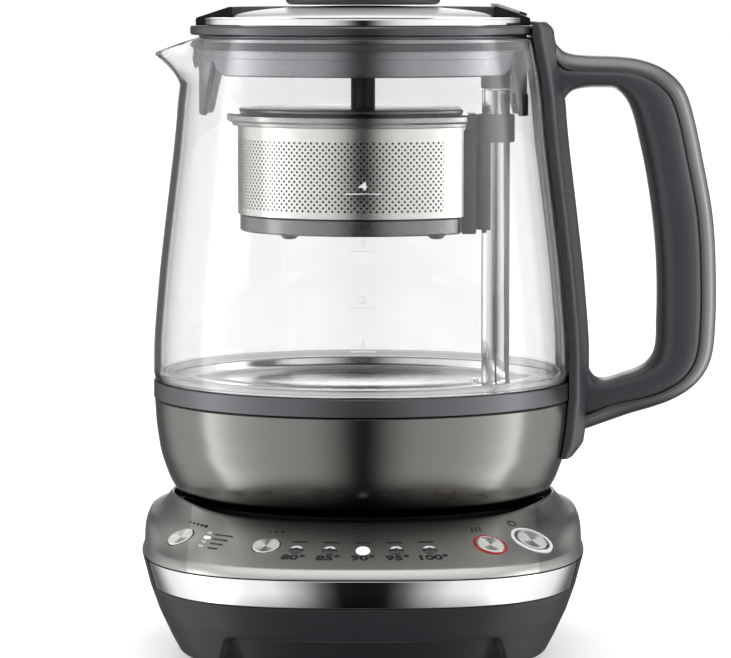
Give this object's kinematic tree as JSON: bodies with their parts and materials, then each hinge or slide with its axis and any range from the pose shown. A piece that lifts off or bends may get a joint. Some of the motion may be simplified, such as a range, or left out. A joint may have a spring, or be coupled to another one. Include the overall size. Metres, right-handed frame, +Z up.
{
  "type": "automatic tea maker",
  "caption": "Glass jug with a steel foot, D-handle, lift-out lid and a leaf basket that travels on a pole, standing on a powered base with a sloping push-button panel.",
  "frame": {"origin": "middle of the footprint, on the surface the feet stand on", "axes": "+Z up, the control panel faces -Y, the handle points to +X and the spout to -X"},
  "size_m": [0.2134, 0.18, 0.2517],
  "materials": {
    "satin_metal": "satin, brushed along the panel",
    "dark_plastic": "satin",
    "bright_chrome": "mirror",
    "black_plastic": "matte",
    "foot_rubber": "matte",
    "board_laminate": "matte",
    "button_metal": "spun",
    "red_lens": "clear red",
    "white_lens": "clear white",
    "jug_glass": "clear",
    "band_plastic": "satin",
    "foot_steel": "brushed round",
    "plain_steel": "polished",
    "seal_rubber": "matte",
    "control_ceramic": "matte",
    "grey_plastic": "matte",
    "handle_plastic": "fine grain",
    "trim_metal": "smoked satin",
    "basket_steel": "satin",
    "magnet_metal": "plated",
    "lid_plastic": "satin",
    "skirt_plastic": "gloss",
    "tab_plastic": "pale, fine-grained"
  },
  "bodies": {
    "base": {"deck_cover": "satin_metal", "lower_housing": "dark_plastic", "front_band": "bright_chrome", "bottom_plate": "black_plastic", "foot_1": "foot_rubber", "foot_2": "foot_rubber", "foot_3": "foot_rubber", "foot_4": "foot_rubber", "control_board": "board_laminate", "cord_gland": "foot_rubber", "well_liner": "black_plastic", "power_connector": "black_plastic", "switch_carrier": "black_plastic", "strength_switch": "black_plastic", "temperature_switch": "black_plastic", "warm_switch": "black_plastic", "start_switch": "black_plastic", "warm_light_ring": "red_lens", "start_light_ring": "white_lens", "temperature_light_guide": "white_lens", "strength_light_guide": "white_lens"},
    "strength_key": {"strength_button": "button_metal"},
    "temperature_key": {"temperature_button": "button_metal"},
    "warm_key": {"warm_button": "button_metal"},
    "start_key": {"start_button": "button_metal"},
    "jug": {"glass_body": "jug_glass", "trim_band": "band_plastic", "steel_shell": "foot_steel", "hot_plate": "plain_steel", "glass_seal": "seal_rubber", "under_cover": "black_plastic", "jug_connector": "black_plastic", "thermostat_block": "control_ceramic", "heating_element": "plain_steel", "drive_motor": "plain_steel", "pole": "plain_steel", "pole_cap": "grey_plastic", "pole_seal": "seal_rubber", "temperature_probe": "plain_steel", "handle_bracket": "handle_plastic", "handle_grip": "handle_plastic", "handle_trim": "trim_metal"},
    "screw": {"lead_screw": "plain_steel"},
    "carriage": {"carriage": "grey_plastic", "drive_magnet": "magnet_metal"},
    "basket": {"basket_body": "basket_steel", "basket_rim": "basket_steel", "basket_floor": "basket_steel", "basket_spine": "handle_plastic"},
    "basket_lid": {"basket_lid": "basket_steel"},
    "lid": {"lid_collar": "lid_plastic", "lid_dome": "plain_steel", "lid_knob": "handle_plastic", "lid_skirt": "skirt_plastic", "lid_seal": "seal_rubber", "lid_tab": "tab_plastic"}
  },
  "joints": [
    {"name": "jug_lift", "type": "slide", "parent": "base", "child": "jug", "axis": [0, 0, 1], "range_m": [0, 0.04]},
    {"name": "lid_lift", "type": "slide", "parent": "jug", "child": "lid", "axis": [0, 0, 1], "range_m": [0, 0.045]},
    {"name": "basket_travel", "type": "slide", "parent": "jug", "child": "carriage", "axis": [0, 0, 1], "range_m": [-0.048, 0]},
    {"name": "screw_spin", "type": "hinge", "parent": "jug", "child": "screw", "pos_m": [0.02443, 0.01, 0.15], "axis": [0, 0, 1], "range_deg": [-1100, 20]},
    {"name": "basket_lift", "type": "slide", "parent": "carriage", "child": "basket", "axis": [0, 0, 1], "range_m": [0, 0.01]},
    {"name": "basket_lid_lift", "type": "slide", "parent": "basket", "child": "basket_lid", "axis": [0, 0, 1], "range_m": [0, 0.008]},
    {"name": "strength_press", "type": "slide", "parent": "base", "child": "strength_key", "axis": [0.355, 0.3387, -0.8714], "range_m": [0, 0.0008], "stiffness_N_per_m": 1500},
    {"name": "temperature_press", "type": "slide", "parent": "base", "child": "temperature_key", "axis": [0.1449, 0.3784, -0.9142], "range_m": [0, 0.0008], "stiffness_N_per_m": 1500},
    {"name": "warm_press", "type": "slide", "parent": "base", "child": "warm_key", "axis": [-0.2192, 0.3393, -0.9148], "range_m": [0, 0.0008], "stiffness_N_per_m": 1500},
    {"name": "start_press", "type": "slide", "parent": "base", "child": "start_key", "axis": [-0.321, 0.316, -0.8928], "range_m": [0, 0.0008], "stiffness_N_per_m": 1500}
  ],
  "couplings": [
    {"joint": "screw_spin", "follows": "basket_travel", "rad_per_m": 392.7}
  ]
}
